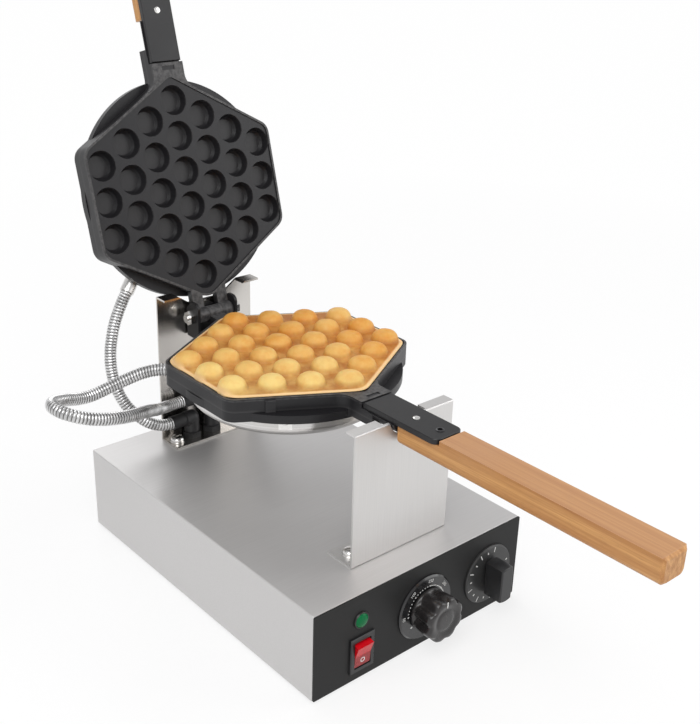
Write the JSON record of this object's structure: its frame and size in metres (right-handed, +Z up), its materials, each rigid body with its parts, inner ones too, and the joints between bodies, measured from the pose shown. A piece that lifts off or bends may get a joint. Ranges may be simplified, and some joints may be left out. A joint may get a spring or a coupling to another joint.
{
  "type": "egg waffle pan",
  "caption": "Electric egg waffle maker: hinged pair of cast round-cell plates with wooden handles, carried between two stands on a steel base box with dial controls.",
  "frame": {"origin": "centre of the base box's footprint, on the surface that the four rubber feet stand on", "axes": "+Z up; the control panel and the lower handle face -Y; +X is to the right of a cook who faces the controls; the turning axis of the pans runs along Y above the middle of the base"},
  "size_m": [0.3344, 0.7326, 0.758],
  "materials": {
    "stainless": "brushed",
    "black_casting": "matte non-stick coating",
    "polished_cover": "spun and polished",
    "black_steel": "satin black",
    "bright_steel": "bright",
    "oak": "clear varnish",
    "black_panel": "satin black",
    "black_plastic": "gloss",
    "dark_plastic": "matte",
    "red_plastic": "gloss, translucent",
    "green_lens": "clear green",
    "white_plastic": "matte",
    "foot_rubber": "matte",
    "brass_part": "plain",
    "heater_steel": "oxidised",
    "ceramic_fibre": "matte",
    "conduit": "corrugated stainless",
    "waffle_crumb": "baked"
  },
  "bodies": {
    "base": {"base_housing": "stainless", "bottom_plate": "stainless", "bottom_screws": "bright_steel", "rubber_feet": "foot_rubber", "control_panel": "black_panel", "front_stand": "stainless", "rear_stand": "stainless", "stand_bolts": "bright_steel", "stand_washers": "bright_steel", "stand_nuts": "bright_steel", "upper_hose_elbow": "dark_plastic", "lower_hose_elbow": "dark_plastic", "elbow_locknuts": "dark_plastic", "pivot_bush": "brass_part", "thermostat_dial": "black_plastic", "timer_dial": "black_plastic", "thermostat": "dark_plastic", "timer": "dark_plastic", "switch_housing": "dark_plastic", "indicator_lens": "green_lens", "indicator_body": "dark_plastic", "terminal_block": "white_plastic", "cord_gland": "dark_plastic", "cord_gland_locknut": "dark_plastic", "upper_hose": "conduit", "lower_hose": "conduit"},
    "lower_pan": {"lower_plate": "black_casting", "lower_heating_element": "heater_steel", "lower_insulation_pad": "ceramic_fibre", "lower_heater_cover": "polished_cover", "lower_cover_clips": "bright_steel", "lower_cover_screws": "bright_steel", "lower_hose_gland": "bright_steel", "lower_handle_strap": "black_steel", "lower_handle_grip": "oak", "lower_handle_rivet": "bright_steel", "lower_handle_screw": "black_steel", "lower_neck_screws": "bright_steel", "hinge_yoke": "black_steel", "hinge_pin": "bright_steel", "hinge_nut": "bright_steel", "pivot_washer": "bright_steel", "pivot_nut": "bright_steel"},
    "upper_pan": {"upper_plate": "black_casting", "upper_heating_element": "heater_steel", "upper_insulation_pad": "ceramic_fibre", "upper_heater_cover": "polished_cover", "upper_cover_clips": "bright_steel", "upper_cover_screws": "bright_steel", "upper_hose_gland": "bright_steel", "upper_handle_strap": "black_steel", "upper_handle_grip": "oak", "upper_handle_rivet": "bright_steel", "upper_handle_screw": "black_steel", "upper_neck_screws": "bright_steel"},
    "waffle": {"egg_waffle": "waffle_crumb"},
    "thermostat_control": {"thermostat_knob": "black_plastic"},
    "timer_control": {"timer_knob": "black_plastic"},
    "power_switch": {"switch_rocker": "red_plastic"}
  },
  "joints": [
    {"name": "pan_flip", "type": "hinge", "parent": "base", "child": "lower_pan", "pos_m": [0, 0.139, 0.2245], "axis": [0, 1, 0], "range_deg": [-10, 10], "deforming": ["lower_hose"]},
    {"name": "lid_hinge", "type": "hinge", "parent": "lower_pan", "child": "upper_pan", "pos_m": [0, 0.139, 0.2245], "axis": [1, 0, 0], "range_deg": [0, 106], "deforming": ["upper_hose"]},
    {"name": "waffle_lift", "type": "slide", "parent": "lower_pan", "child": "waffle", "axis": [0, 0, -1], "range_m": [-0.15, 0]},
    {"name": "thermostat_turn", "type": "hinge", "parent": "base", "child": "thermostat_control", "pos_m": [0.002, -0.19, 0.043], "axis": [0, 1, 0], "range_deg": [0, 270]},
    {"name": "timer_turn", "type": "hinge", "parent": "base", "child": "timer_control", "pos_m": [0.084, -0.19, 0.043], "axis": [0, 1, 0], "range_deg": [0, 300]},
    {"name": "switch_rock", "type": "hinge", "parent": "base", "child": "power_switch", "pos_m": [-0.0725, -0.1795, 0.03], "axis": [1, 0, 0], "range_deg": [-24, 0]}
  ]
}
